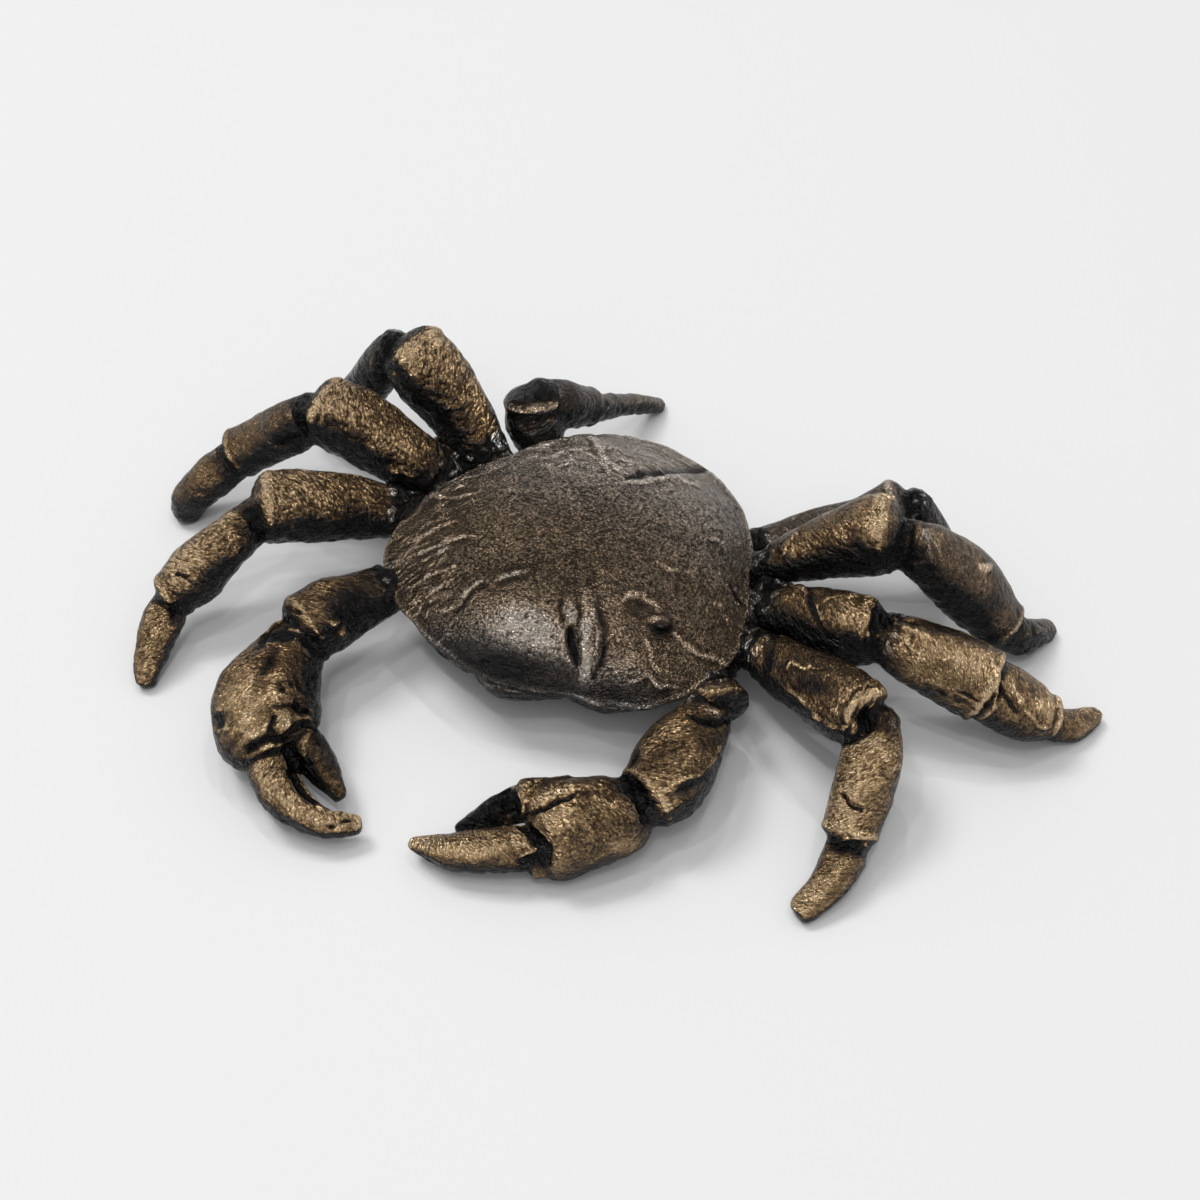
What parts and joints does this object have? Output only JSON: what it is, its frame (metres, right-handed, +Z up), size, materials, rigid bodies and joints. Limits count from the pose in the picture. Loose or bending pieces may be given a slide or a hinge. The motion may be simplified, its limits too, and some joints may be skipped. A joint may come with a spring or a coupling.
{
  "type": "bronze crab figurine",
  "caption": "Standing crab figure cast in dark bronze: a domed, grained shell on bent, jointed legs that reach the ground, with curved claws held in front.",
  "frame": {"origin": "on the ground, under the middle of the figure's bounding box", "axes": "+Z up; the crab faces -Y; +X is its own left side, along the longest reach of the legs"},
  "size_m": [0.1556, 0.1044, 0.0316],
  "materials": {
    "dark_bronze": "dark brown patina, lightly rubbed on the raised grain",
    "rubbed_bronze": "near-black patina rubbed back to golden bronze on the upper sides"
  },
  "bodies": {
    "root": {"body": "dark_bronze", "leg_right_1": "rubbed_bronze", "leg_right_2": "rubbed_bronze", "leg_right_3": "rubbed_bronze", "leg_right_4": "rubbed_bronze", "leg_left_1": "rubbed_bronze", "leg_left_2": "rubbed_bronze", "leg_left_3": "rubbed_bronze", "leg_left_4": "rubbed_bronze", "claw_right": "rubbed_bronze", "claw_left": "rubbed_bronze"}
  },
  "joints": []
}
